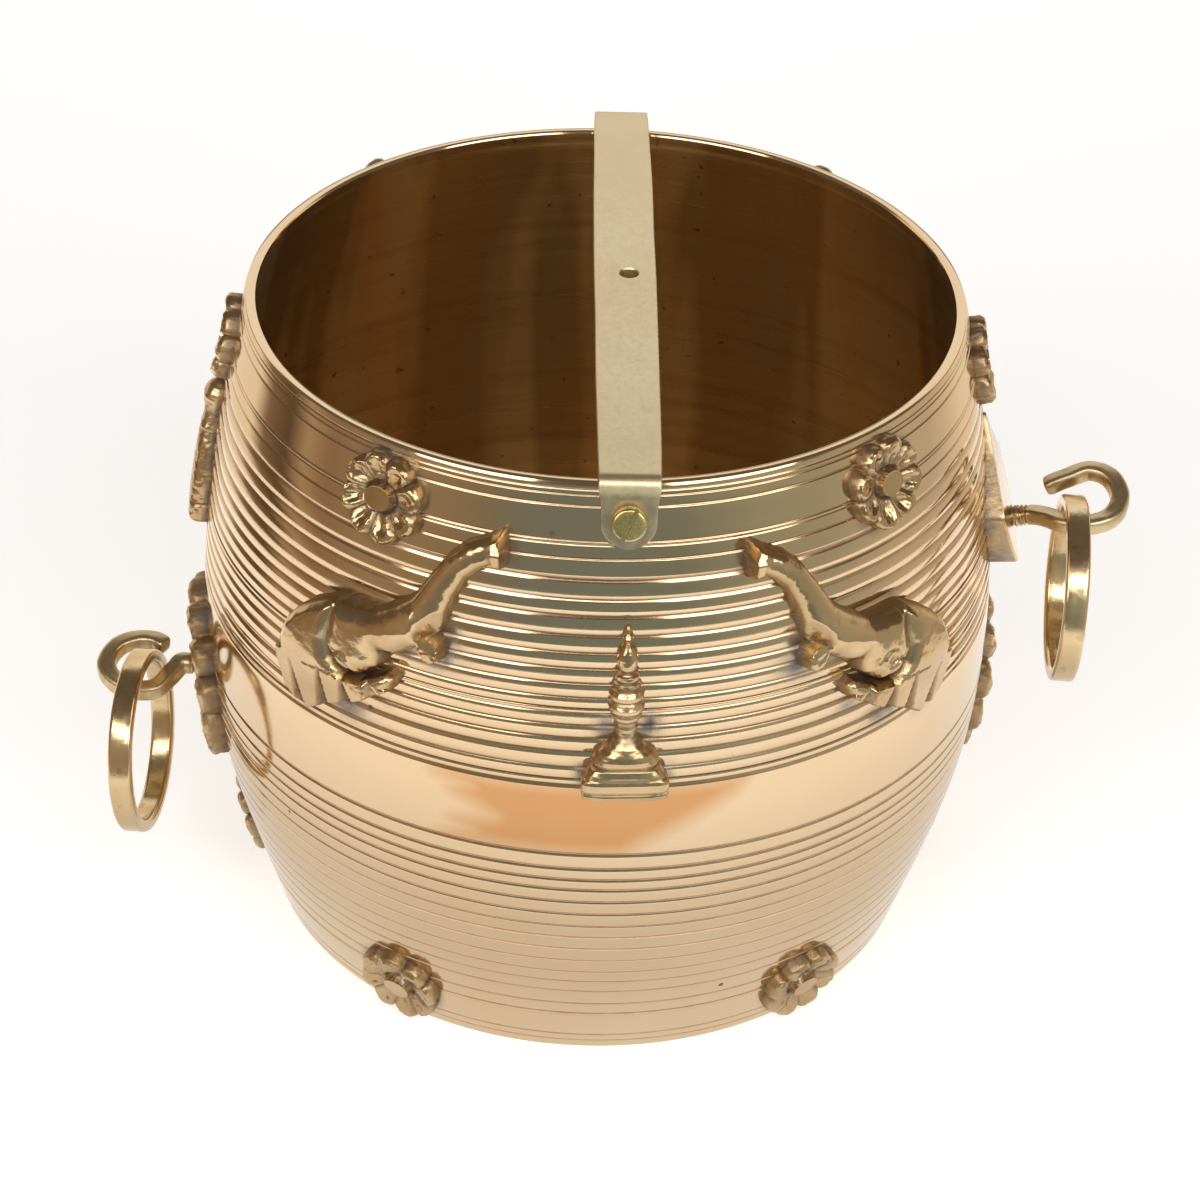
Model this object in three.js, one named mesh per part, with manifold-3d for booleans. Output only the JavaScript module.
// Turned brass barrel measure with cast ornaments, a bar across the mouth and two hanging rings.
// Millimetres, +Z up, base on Z = 0, barrel axis on Z, mouth bar parallel to Y, front at -Y.
import * as THREE from 'three';
import Module from 'manifold-3d';

// ---------------------------------------------------------------- driving dimensions
const RIM_R = 110;                    // rim outer radius
const H = 213;                        // height to the rim
const KNOT_Z = [0, 25.6, 59.7, 95.9, 132.1, 170.4, 213];
const KNOT_R = [104.4, 112.4, 121.3, 125.1, 124.0, 119.1, 110];
const WALL = 2.9;                     // wall thickness
const LIP = 3.4;                      // wall thickness at the rim
const LIP_H = 5;                      // depth of the thicker rim
const BASE_T = 4.5;                   // bottom thickness
const SEG = 64;                       // facets round the barrel
const GAP = 0.3;                      // clearance between touching pieces
const RIB_DEPTH = 0.8;                // depth of the turned ribs' steps
const BELT = [93, 118];               // plain belt, bottom and top
const GROOVES_FINE = [207.5, 192.8];
const GROOVE_FINE_DEPTH = 0.5;
const RIB_Z = [183, 173.8, 164.6, 155.4, 146.2, 137, 127.6];
const LOW_RIB_Z = [84, 66, 48, 32];
const FOOT_GROOVE = 18.9;
const STRAP_X = 5.7;                  // the bar runs beside the barrel axis
const STRAP_W = 19.4;                 // at its widest, over the middle of the mouth
const STRAP_END_W = 17.4;             // at the bends
const LUG_W = 16.2;
const STRAP_BACK = 3.2;               // the rear bend stands this far off the rim
const STRAP_T = 3;
const STRAP_HOLE_R = 2.9;
const STRAP_HOLE_X = 6.9;
const STRAP_HOLE_Y = 5.6;
const LUG_END_Z = 195.2;
const SCREW_Z = 203.4;
const SCREW_HEAD_R = 5;
const SCREW_HEAD_H = 3.6;
const SCREW_R = 3;
const SCREW_LEN = 13.5;
const SLOT_W = 1.3;
const SLOT_D = 1.6;
const BOLT_R = 3.5;                   // ring bolt shank
const EYE_W = 6.4;                    // forged section of the eye
const EYE_H = 5.8;
const RING_R1 = 25.4;                 // ring bore
const RING_R2 = 29.5;                 // ring outside
const RING_W = 7.5;
const FLOWER_R = 12.8;                  // small flowers
const FLOWER_H = 4.8;
const BIG_FLOWER_R = 28.5;            // large flowers under the ring bolts
const BIG_FLOWER_H = 6.2;
const LEFT = { az: -87.4, z: 75.5 };    // ring bolt positions
const RIGHT = { az: 86.6, z: 139.5 };

const wasm = await Module();
wasm.setup();
const D2R = Math.PI / 180;

// ---------------------------------------------------------------- barrel curve (natural-like cubic through the knots)
function spline(xs, ys) {
  const n = xs.length, h = [], a = [], b = [], c = [], d = [];
  for (let i = 0; i < n - 1; i++) h.push(xs[i + 1] - xs[i]);
  for (let i = 0; i < n; i++) { a.push(0); b.push(1); c.push(0); d.push(0); }
  for (let i = 1; i < n - 1; i++) {
    a[i] = h[i - 1]; b[i] = 2 * (h[i - 1] + h[i]); c[i] = h[i];
    d[i] = 6 * ((ys[i + 1] - ys[i]) / h[i] - (ys[i] - ys[i - 1]) / h[i - 1]);
  }
  for (let i = 1; i < n; i++) { const m = a[i] / b[i - 1]; b[i] -= m * c[i - 1]; d[i] -= m * d[i - 1]; }
  const M = new Array(n).fill(0);
  M[n - 1] = d[n - 1] / b[n - 1];
  for (let i = n - 2; i >= 0; i--) M[i] = (d[i] - c[i] * M[i + 1]) / b[i];
  return (x) => {
    let i = 0;
    while (i < n - 2 && x > xs[i + 1]) i++;
    const t = x - xs[i], q = h[i];
    const B = (ys[i + 1] - ys[i]) / q - q * (2 * M[i] + M[i + 1]) / 6;
    return ys[i] + t * (B + t * (M[i] / 2 + t * (M[i + 1] - M[i]) / (6 * q)));
  };
}
const R = spline(KNOT_Z, KNOT_R);
const slope = (z) => (R(z + 0.5) - R(z - 0.5));

// ---------------------------------------------------------------- helpers
function toManifold(geo) {
  const g0 = geo.index ? geo.toNonIndexed() : geo;
  const p = g0.attributes.position.array;
  const map = new Map(), verts = [], tris = [];
  for (let i = 0; i < p.length; i += 3) {
    const k = [p[i], p[i + 1], p[i + 2]].map((v) => Math.round(v * 1e4)).join(',');
    let id = map.get(k);
    if (id === undefined) { id = verts.length / 3; map.set(k, id); verts.push(p[i], p[i + 1], p[i + 2]); }
    tris.push(id);
  }
  const keep = [];
  for (let i = 0; i < tris.length; i += 3) {
    const [a, b, c] = [tris[i], tris[i + 1], tris[i + 2]];
    if (a !== b && b !== c && a !== c) keep.push(a, b, c);
  }
  return new wasm.Manifold(new wasm.Mesh({
    numProp: 3, vertProperties: new Float32Array(verts), triVerts: new Uint32Array(keep),
  }));
}
function fromManifold(m) {
  const mesh = m.getMesh();
  const g = new THREE.BufferGeometry();
  const n = mesh.numProp, src = mesh.vertProperties, pos = new Float32Array((src.length / n) * 3);
  for (let i = 0; i < src.length / n; i++) { pos[3 * i] = src[n * i]; pos[3 * i + 1] = src[n * i + 1]; pos[3 * i + 2] = src[n * i + 2]; }
  g.setAttribute('position', new THREE.BufferAttribute(pos, 3));
  g.setIndex(new THREE.BufferAttribute(new Uint32Array(mesh.triVerts), 1));
  const flat = g.toNonIndexed();
  flat.computeVertexNormals();
  return flat;
}
// closed surface from rings of equal point count, capped at both ends with a fan about the ring's mean
function loft(rings) {
  const n = rings[0].length, v = [], idx = [];
  for (const r of rings) for (const p of r) v.push(p[0], p[1], p[2]);
  for (let k = 0; k < rings.length - 1; k++) for (let i = 0; i < n; i++) {
    const j = (i + 1) % n, a = k * n + i, b = k * n + j, c = a + n, d = b + n;
    idx.push(a, b, d, a, d, c);
  }
  const cap = (k, flip) => {
    const m = [0, 0, 0];
    for (const p of rings[k]) { m[0] += p[0] / n; m[1] += p[1] / n; m[2] += p[2] / n; }
    const id = v.length / 3; v.push(...m);
    for (let i = 0; i < n; i++) {
      const a = k * n + i, b = k * n + ((i + 1) % n);
      if (flip) idx.push(id, b, a); else idx.push(id, a, b);
    }
  };
  cap(0, true); cap(rings.length - 1, false);
  const g = new THREE.BufferGeometry();
  g.setAttribute('position', new THREE.Float32BufferAttribute(v, 3));
  g.setIndex(idx);
  const m = toManifold(g);
  if (m.volume() > 0) return m;
  const f = [];
  for (let i = 0; i < idx.length; i += 3) f.push(idx[i], idx[i + 2], idx[i + 1]);
  g.setIndex(f);
  return toManifold(g);
}
// tube of elliptical section along points; radii are [across, up] pairs, up is kept near `upv`
function tube(points, radii, sides = 10, upv = [0, 0, 1], power = 2) {
  const P = points.map((p) => new THREE.Vector3(...p));
  const U = new THREE.Vector3(...upv);
  const rings = P.map((p, k) => {
    const a = P[Math.max(k - 1, 0)], b = P[Math.min(k + 1, P.length - 1)];
    const t = b.clone().sub(a).normalize();
    const s = t.clone().cross(U).normalize();
    const w = s.clone().cross(t).normalize();
    const out = [];
    for (let i = 0; i < sides; i++) {
      const q = (i + 0.5) / sides * 2 * Math.PI, c = Math.cos(q), e = Math.sin(q);
      const x = Math.sign(c) * Math.abs(c) ** (2 / power) * radii[k][0];
      const y = Math.sign(e) * Math.abs(e) ** (2 / power) * radii[k][1];
      out.push([p.x + s.x * x + w.x * y, p.y + s.y * x + w.y * y, p.z + s.z * x + w.z * y]);
    }
    return out;
  });
  return loft(rings);
}
function curve(points, n) {
  const c = new THREE.CatmullRomCurve3(points.map((p) => new THREE.Vector3(...p)), false, 'centripetal');
  return c.getPoints(n).map((p) => [p.x, p.y, p.z]);
}
function ellipsoid(cx, cy, cz, rx, ry, rz, seg = 14, rows = 10) {
  const g = new THREE.SphereGeometry(1, seg, rows);
  g.rotateX(Math.PI / 2);
  g.scale(rx, ry, rz);
  g.translate(cx, cy, cz);
  return toManifold(g);
}
function prism(outline, depth, z0 = 0) {
  const g = new THREE.ExtrudeGeometry(new THREE.Shape(outline.map((p) => new THREE.Vector2(p[0], p[1]))),
    { depth, bevelEnabled: false, steps: 1, curveSegments: 8 });
  g.translate(0, 0, z0);
  return toManifold(g);
}
function lathe(profile, seg) {
  const g = new THREE.LatheGeometry(profile.map((p) => new THREE.Vector2(p[0], p[1])), seg);
  g.rotateX(Math.PI / 2);
  const m = toManifold(g);
  return m.volume() > 0 ? m : (() => { g.scale(1, -1, 1); return toManifold(g); })();
}
function rod(r, z0, z1, seg = 20) {
  const g = new THREE.CylinderGeometry(r, r, z1 - z0, seg);
  g.rotateX(Math.PI / 2);
  g.translate(0, 0, (z0 + z1) / 2);
  return toManifold(g);
}
const apply = (m, M) => m.transform(M.elements);
// frame on the barrel's outside: x to the right seen from outside, y up, z outward
function frameAt(azDeg, z, tiltDeg = 0, r = R(z)) {
  const a = azDeg * D2R, t = tiltDeg * D2R;
  const nh = new THREE.Vector3(Math.sin(a), -Math.cos(a), 0);
  const x = new THREE.Vector3(Math.cos(a), Math.sin(a), 0);
  const n = nh.clone().multiplyScalar(Math.cos(t)).add(new THREE.Vector3(0, 0, Math.sin(t)));
  const up = n.clone().cross(x);
  const M = new THREE.Matrix4().makeBasis(x, up, n);
  M.setPosition(nh.x * r, nh.y * r, z);
  return M;
}
// wraps (u, v, w) relief coordinates on the barrel: u along the circumference, v up, w out of the surface
function wrap(m, azDeg, z0) {
  const Rm = R(z0);
  return m.warp((p) => {
    const a = azDeg * D2R + p[0] / Rm, z = z0 + p[1], s = slope(z), q = 1 / Math.hypot(1, s);
    const r = R(Math.min(Math.max(z, 0), H)) + p[2] * q, zz = z - p[2] * s * q;
    p[0] = r * Math.sin(a); p[1] = -r * Math.cos(a); p[2] = zz;
  });
}
// solid that fills the barrel out to its envelope plus the clearance
const envelope = (() => {
  const prof = [[0, -3]];
  for (let k = 0; k <= 16; k++) { const z = H * k / 16; prof.push([R(z) + GAP + 0.05, k === 0 ? -3 : z]); }
  prof.push([R(H) + GAP, H + 8], [0, H + 8]);
  return lathe(prof, SEG);
})();
const onBarrel = (m, az, z) => wrap(m, az, z).subtract(envelope);

const group = new THREE.Group();
const parts = {};
function add(name, m, color) {
  const pieces = m.decompose();
  let body = pieces[0];
  for (const p of pieces) if (p.volume() > body.volume()) body = p;
  parts[name] = body;
  const mesh = new THREE.Mesh(fromManifold(body), new THREE.MeshStandardMaterial({ color, metalness: 1, roughness: 0.25 }));
  mesh.name = name;
  group.add(mesh);
}

// ---------------------------------------------------------------- vessel
const bands = [];                                   // outside profile from the rim down
bands.push([R(H) - LIP / 2, H], [R(H) - 0.5, H], [R(H), H - 0.6]);
const grv = (z, w, d) => bands.push([R(z + w), z + w], [R(z) - d, z], [R(z - w), z - w]);
for (const z of GROOVES_FINE) grv(z, 0.7, GROOVE_FINE_DEPTH);
bands.push([R(188), 188]);
for (const z of RIB_Z) bands.push([R(z) - RIB_DEPTH, z], [R(z - 4.6), z - 4.6]);
bands.push([R(BELT[1]), BELT[1]], [R(105.5), 105.5], [R(BELT[0]), BELT[0]]);
for (const z of LOW_RIB_Z) grv(z, 1.0, GROOVE_FINE_DEPTH);
grv(FOOT_GROOVE, 1.0, 0.6);
bands.push([R(9), 9], [R(1.6), 1.6], [R(0) - 1.6, 0], [0, 0]);
const inside = [[0, BASE_T], [R(0) - WALL - 6, BASE_T], [R(3) - WALL - 2, BASE_T + 1.8], [R(12) - WALL, 12]];
for (const z of [40, 70, 100, 130, 160, 186]) inside.push([R(z) - WALL, z]);
inside.push([R(H - LIP_H - 1) - WALL, H - LIP_H - 1], [R(H - LIP_H) - LIP, H - LIP_H], [R(H) - LIP, H - 0.4]);
const closedProfile = [[0, 0]];
for (const p of bands.slice().reverse().slice(1)) closedProfile.push(p);
for (const p of inside.slice().reverse()) closedProfile.push(p);
let vessel = lathe(closedProfile, SEG);

const TILT = (z) => -Math.atan(slope(z)) / D2R;     // surface normal's tilt above the horizontal
const screwTilt = TILT(SCREW_Z);
function screwFrame(front) {
  const y = Math.sqrt(R(SCREW_Z) ** 2 - STRAP_X ** 2) * (front ? -1 : 1);
  const t = screwTilt * D2R;
  const n = new THREE.Vector3(0, front ? -Math.cos(t) : Math.cos(t), Math.sin(t));
  const x = new THREE.Vector3(front ? 1 : -1, 0, 0);
  const up = n.clone().cross(x);
  const M = new THREE.Matrix4().makeBasis(x, up, n);
  M.setPosition(STRAP_X, y, SCREW_Z);
  return M;
}
const leftTilt = 0, rightTilt = 0;
const leftF = frameAt(LEFT.az, LEFT.z, leftTilt), rightF = frameAt(RIGHT.az, RIGHT.z, rightTilt);
for (const f of [screwFrame(true), screwFrame(false)]) vessel = vessel.subtract(apply(rod(SCREW_R + GAP, -12, 12), f));
for (const f of [leftF, rightF]) vessel = vessel.subtract(apply(rod(BOLT_R + GAP, -14, 12, 16), f));
add('vessel', vessel, 0xd8b25a);

// ---------------------------------------------------------------- mouth bar with its two lugs
{
  const lift = GAP, t = STRAP_T, y0 = Math.sqrt(RIM_R ** 2 - (Math.abs(STRAP_X) - LUG_W / 2) ** 2) + GAP;
  const zb = LUG_END_Z - 3, tl = TILT(204) * D2R;
  const yb = y0 + (H - zb) * Math.tan(tl);
  const side = (s, o, up) => [[s * (yb + 0.25), zb], [s * (yb + t / Math.cos(tl) + 0.25), zb],
    [s * (y0 + o + t + 0.7), H - 1.5], [s * (y0 + o + t), H + lift + 1.4 + up], [s * (y0 + o + t - 1.4), H + lift + t + up]];
  const f = side(-1, 0, 0), b = side(1, STRAP_BACK, 0.5);
  const outline = [f[0], f[1], f[2], f[3], f[4], [60, H + lift + t], b[4], b[3], b[2], b[1], b[0],
    [y0 + STRAP_BACK + 0.1, H + lift + 0.5], [60, H + lift], [-(y0 + 0.1), H + lift]];
  let bar = prism(outline, STRAP_W, -STRAP_W / 2);
  // prism axes: x = Y, y = Z, z = X
  const M = new THREE.Matrix4().makeBasis(new THREE.Vector3(0, 1, 0), new THREE.Vector3(0, 0, 1), new THREE.Vector3(1, 0, 0));
  M.setPosition(STRAP_X, 0, 0);
  bar = apply(bar, M);
  const shape = [], ys = [-125, -112.5, -110, -80, -45, 0, 45, 80, 110, 115.5, 125];
  const hw = (y) => Math.abs(y) > 112 ? LUG_W / 2 : STRAP_END_W / 2 + (STRAP_W - STRAP_END_W) / 2 * Math.sqrt(Math.max(0, 1 - (y / 112) ** 2));
  for (const y of ys) shape.push([hw(y), y]);
  for (const y of ys.slice().reverse()) shape.push([-hw(y), y]);
  const widths = prism(shape, 60, H - 40);
  bar = bar.intersect(apply(widths, new THREE.Matrix4().makeTranslation(STRAP_X, 0, 0)));
  const plan = [];
  const rr = LUG_W / 2;
  for (let i = 0; i <= 12; i++) { const a = Math.PI + Math.PI * i / 12; plan.push([rr * Math.cos(a), LUG_END_Z + rr + rr * Math.sin(a)]); }
  plan.push([rr, H - 6], [STRAP_W, H - 4], [STRAP_W, H + 12], [-STRAP_W, H + 12], [-STRAP_W, H - 4], [-rr, H - 6]);
  const cut = prism(plan, 300, -150);
  const M2 = new THREE.Matrix4().makeBasis(new THREE.Vector3(1, 0, 0), new THREE.Vector3(0, 0, 1), new THREE.Vector3(0, -1, 0));
  M2.setPosition(STRAP_X, 0, 0);
  bar = bar.intersect(apply(cut, M2));
  for (const fr of [screwFrame(true), screwFrame(false)]) bar = bar.subtract(apply(rod(SCREW_R + GAP, -3, 14), fr));
  const hole = new THREE.Matrix4().makeTranslation(STRAP_HOLE_X, STRAP_HOLE_Y, 0);
  bar = bar.subtract(apply(rod(STRAP_HOLE_R, H - 4, H + 12, 20), hole));
  add('mouth_strap', bar, 0xe3cd92);
}

// ---------------------------------------------------------------- bar screws and their nuts
function hexNut(af, h, bore) {
  const r = af / Math.sqrt(3), o = [];
  for (let i = 0; i < 6; i++) o.push([r * Math.cos(i * Math.PI / 3), r * Math.sin(i * Math.PI / 3)]);
  return prism(o, h, 0).subtract(rod(bore, -1, h + 1, 16));
}
for (const [name, front] of [['front', true], ['back', false]]) {
  const lugFace = STRAP_T + (front ? 1.15 : 3.6);   // lug's outer face above the barrel, along the screw
  const f = screwFrame(front);
  let s = lathe([[0, lugFace + SCREW_HEAD_H], [SCREW_HEAD_R - 0.6, lugFace + SCREW_HEAD_H], [SCREW_HEAD_R, lugFace + SCREW_HEAD_H - 0.5],
    [SCREW_HEAD_R, lugFace], [SCREW_R, lugFace], [SCREW_R, lugFace - SCREW_LEN + 0.5], [SCREW_R - 0.5, lugFace - SCREW_LEN], [0, lugFace - SCREW_LEN]].reverse(), 24);
  const slot = new THREE.BoxGeometry(SCREW_HEAD_R * 2.4, SLOT_W, SLOT_D * 2);
  slot.rotateZ((front ? 65 : 20) * D2R);
  slot.translate(0, 0, lugFace + SCREW_HEAD_H);
  s = s.subtract(toManifold(slot));
  add(`strap_screw_${name}`, apply(s, f), 0xd9b44a);
  const nut = apply(hexNut(10, 5, SCREW_R + GAP), new THREE.Matrix4().makeTranslation(0, 0, -LIP - 5.9));
  add(`strap_nut_${name}`, apply(nut, f), 0xc9a24a);
}

// ---------------------------------------------------------------- flowers
function flower(r, h, petals, discR, perPetal, rings) {
  const n = petals * perPetal, v = [], idx = [];
  const H0 = (t, a) => {
    const lobe = Math.abs(Math.cos(a * petals / 2));
    if (t < discR / r * 0.98) return h * 0.92;
    return h * (0.72 + 0.28 * lobe) * Math.sqrt(Math.max(0.05, 1 - ((t - 0.62) / 0.46) ** 2));
  };
  for (let k = 1; k <= rings.length; k++) {
    const t = rings[k - 1];
    for (let i = 0; i < n; i++) {
      const a = i / n * 2 * Math.PI, lobe = Math.abs(Math.cos(a * petals / 2));
      const edge = r * (0.86 + 0.14 * lobe ** 0.6);
      const rad = t <= discR / r ? t * r : discR + (edge - discR) * (t - discR / r) / (1 - discR / r);
      v.push(rad * Math.cos(a), rad * Math.sin(a), H0(t, a));
    }
  }
  for (let i = 0; i < n; i++) { const p = v.slice(((rings.length - 1) * n + i) * 3, ((rings.length - 1) * n + i) * 3 + 2); v.push(p[0], p[1], -2.5); }
  const c0 = v.length / 3; v.push(0, 0, h * 0.92); const c1 = c0 + 1; v.push(0, 0, -2.5);
  for (let i = 0; i < n; i++) {
    const j = (i + 1) % n;
    idx.push(c0, i, j);
    for (let k = 0; k < rings.length; k++) { const a = k * n + i, b = k * n + j, c = a + n, d = b + n; idx.push(a, c, d, a, d, b); }
    idx.push(c1, rings.length * n + j, rings.length * n + i);
  }
  const g = new THREE.BufferGeometry();
  g.setAttribute('position', new THREE.Float32BufferAttribute(v, 3));
  g.setIndex(idx);
  return toManifold(g);
}
const smallFlower = () => flower(FLOWER_R, FLOWER_H, 9, 4.2, 2, [0.32, 0.4, 0.72, 1]);
const TOP_Z = 198.5, LOW_Z = 16.5;
const top = { front_left: -34.1, front_right: 44.6, side_left: -91.5, side_right: 88.5, back_left: -140, back_right: 142 };
const low = { front_left: -32.6, front_right: 36.6, side_left: -88, side_right: 92, back_left: -142, back_right: 146 };
for (const k in top) add(`top_flower_${k}`, onBarrel(smallFlower(), top[k], k.startsWith('side') ? 193 : TOP_Z - 1), 0xcaa04a);
for (const k in low) add(`low_flower_${k}`, onBarrel(smallFlower(), low[k], LOW_Z), 0xcaa04a);

// ---------------------------------------------------------------- elephants
function elephant(dir) {
  const pts = curve([[-6, 3, 0.5], [3, 8, 0.5], [10, 14, 0.3], [14.5, 22, 0], [19.5, 32, 0], [27, 38.5, 0], [36.5, 42.2, 0.3]], 10);
  const rad = pts.map((_, k) => { const t = k / 10; const r = t < 0.25 ? 8.5 - 10 * t : t < 0.85 ? 6 - 2 * (t - 0.25) : 4.6 + 3 * (t - 0.85); return [r * 0.92, r]; });
  let m = tube(pts, rad, 8);
  m = m.add(ellipsoid(-18.5, -6, -1, 15.6, 16.5, 10.2, 10, 7));
  m = m.add(ellipsoid(-4, 1.5, -1, 13, 12.5, 9.2, 10, 7));
  const fringe = (u0, u1, v0, v1, h) => prism([[u0, v0], [u1, v0 + 2.5], [u1 + 1, v1], [u0 + 1, v1]], h + 2, -2);
  m = m.add(fringe(-32.5, -25.5, -27.5, -6, 4.8)).add(fringe(-24, -16.5, -25, -8, 4.8)).add(fringe(-15, -8, -20, -6, 4.4))
    .add(fringe(-6.5, 0.5, -15, -2, 4.2)).add(fringe(1.8, 6.6, -10.5, 4, 3.6));
  m = m.add(prism([[-31, -17], [3, -8], [5, 2], [-30, 0]], 5.6, -2));
  m = m.add(tube([[12, 8, 0.5], [16, 7.8, 3], [18.6, 7.6, 4.6]], [[3, 3], [2.9, 2.9], [2.4, 2.4]], 8));
  if (dir < 0) {
    m = m.mirror([1, 0, 0]);
  }
  return m;
}
const ele = { front_left: [-31.7, 150, 1], front_right: [37.3, 146.5, -1], back_left: [-146, 148, -1], back_right: [149, 148, 1] };
for (const k in ele) add(`elephant_${k}`, onBarrel(elephant(ele[k][2]), ele[k][0], ele[k][1]), 0xc9a14c);

// ---------------------------------------------------------------- oil lamps
function lamp() {
  const half = [[0, 22], [1.6, 20.5], [3.1, 17.6], [2.3, 15.8], [3.2, 14.2], [2.6, 12.2], [3.5, 10.6], [2.9, 8.4], [3.6, 6.4], [3.0, 4.4],
    [5.0, 2.4], [4.9, -0.4], [3.4, -2.2], [5.0, -4], [4.4, -6.2], [2.9, -8], [3.3, -10.5], [2.9, -13], [5.5, -16.2], [8.6, -20.8],
    [7.4, -22.6], [0, -22.6]];
  let m = lathe(half.slice().reverse().map((p) => [p[0], p[1]]), 8);
  m = apply(m, new THREE.Matrix4().makeRotationX(-Math.PI / 2));
  m = m.scale([1, 1, 0.85]);
  m = m.add(prism([[-12, -32.5], [12, -32.5], [12, -27], [9.6, -23.2], [-9.6, -23.2], [-12, -27]], 6.6, -2));
  m = m.add(prism([[-9.4, -24], [9.4, -24], [8.2, -21.6], [-8.2, -21.6]], 7.4, -2));
  return m;
}
add('lamp_front', onBarrel(lamp(), 3.1, 150), 0xc9a14c);
add('lamp_back', onBarrel(lamp(), 183, 150), 0xc9a14c);

// ---------------------------------------------------------------- side castings
const bigFlower = () => flower(BIG_FLOWER_R, BIG_FLOWER_H, 12, 9, 2, [0.3, 0.38, 0.7, 1]);
add('escutcheon_left', onBarrel(bigFlower(), LEFT.az, LEFT.z).subtract(apply(rod(BOLT_R + GAP, -6, 14, 16), leftF)), 0xb98f42);
add('big_flower_right', onBarrel(bigFlower(), 99, 66), 0xb98f42);
{ // upright casting above the left ring bolt: a bulb on a stem that widens to a square foot
  let m = tube(curve([[0, -23, 1.2], [0, -12, 1.4], [0, 0, 1.2], [0, 12, 1], [0, 19, 1.6], [0, 23.5, 1.2]], 10),
    [[9, 4.6], [9.5, 4.8], [9, 4.6], [8, 4.2], [6.5, 3.8], [5.2, 3.4], [4.4, 3.2], [4.4, 3.6], [5.4, 4.6], [5.2, 4.6], [2.6, 2.6]], 10, [0, 0, 1], 3);
  add('side_casting_left', onBarrel(m, -89.5, 155.5), 0xb98f42);
}
{ // pointed block, flat outer face
  const o = [[0, 38], [-8, 27], [-22, 11], [-19, -2], [-11, -12.5], [11, -12.5], [19, -2], [22, 11], [8, 27]];
  let m = apply(prism(o, 26, -18), frameAt(RIGHT.az, RIGHT.z, 16.4, R(RIGHT.z)));
  const top7 = apply(prism([[-60, -60], [60, -60], [60, 60], [-60, 60]], 60, 6.2), frameAt(RIGHT.az, RIGHT.z, 16.4, R(RIGHT.z)));
  m = m.subtract(top7).subtract(envelope).subtract(apply(rod(BOLT_R + GAP, -6, 14, 16), rightF));
  add('escutcheon_right', m, 0xc9a14c);
}

// ---------------------------------------------------------------- ring bolts, washers, nuts and rings
function boltSolid(path, n, side) {
  const shank = rod(BOLT_R, -14, 9.5, 16);
  const pts = curve(path, n);
  const bend = tube(pts, pts.map(() => [EYE_W / 2, EYE_H / 2]), 8, [0, 1, 0], 2.6);
  return shank.add(bend);
}
const leftPath = [[0, 0, 8], [0, 0, 10], [3.2, -1.6, 13], [8.4, -4, 18.5], [8.8, -4.2, 24.5], [6.4, -3, 31], [0, -0.6, 34.4], [-6.4, 1.8, 31.2], [-8.8, 3, 25], [-8, 3.2, 19], [-5.6, 2.8, 15.4]];
const rightPath = [[0, 0, 8], [-1, 1.4, 13], [-4.5, 2.9, 17.5], [-9.2, 3.8, 23], [-10, 4.7, 31], [-7.2, 5.9, 37], [0, 8.4, 39.8], [7.2, 11, 37.2], [10.4, 11.6, 31], [10, 8.8, 24], [9.6, 5.4, 17.4]];
add('eyebolt_left', apply(boltSolid(leftPath, 22), leftF), 0xb8974e);
add('eyebolt_right', apply(boltSolid(rightPath, 22), rightF), 0xb8974e);
for (const [name, f, seat] of [['left', leftF, 1.7], ['right', rightF, 1.9]]) {
  const washer = lathe([[BOLT_R + GAP, 0], [8, 0], [8, 1.6], [BOLT_R + GAP, 1.6], [BOLT_R + GAP, 0]], 20);
  add(`eyebolt_washer_${name}`, apply(washer, f.clone().multiply(new THREE.Matrix4().makeTranslation(0, 0, -WALL - 1.6 - seat))), 0xc9a24a);
  add(`eyebolt_nut_${name}`, apply(hexNut(13, 6, BOLT_R + GAP), f.clone().multiply(new THREE.Matrix4().makeTranslation(0, 0, -WALL - 1.6 - seat - 6.3))), 0xc9a24a);
}
// ring centre in the bolt's frame, and the turn of its plane about the vertical
function ring(frame, u, v, w, yawDeg, leanDeg) {
  const r = lathe([[RING_R1, -RING_W / 2], [RING_R2 - 0.7, -RING_W / 2], [RING_R2, -RING_W / 2 + 0.7],
    [RING_R2, RING_W / 2 - 0.7], [RING_R2 - 0.7, RING_W / 2], [RING_R1, RING_W / 2], [RING_R1, -RING_W / 2]], 40);
  const M = frame.clone().multiply(new THREE.Matrix4().makeTranslation(u, v, w))
    .multiply(new THREE.Matrix4().makeRotationY(yawDeg * D2R)).multiply(new THREE.Matrix4().makeRotationX(leanDeg * D2R));
  return apply(r, M);
}
add('ring_left', ring(leftF, 21.1, -15.1, 22.5, -10.5, 3), 0xd0a650);
add('ring_right', ring(rightF, -13.8, -17, 25, 0.6, 1.3), 0xd0a650);

export default group;
export { parts };
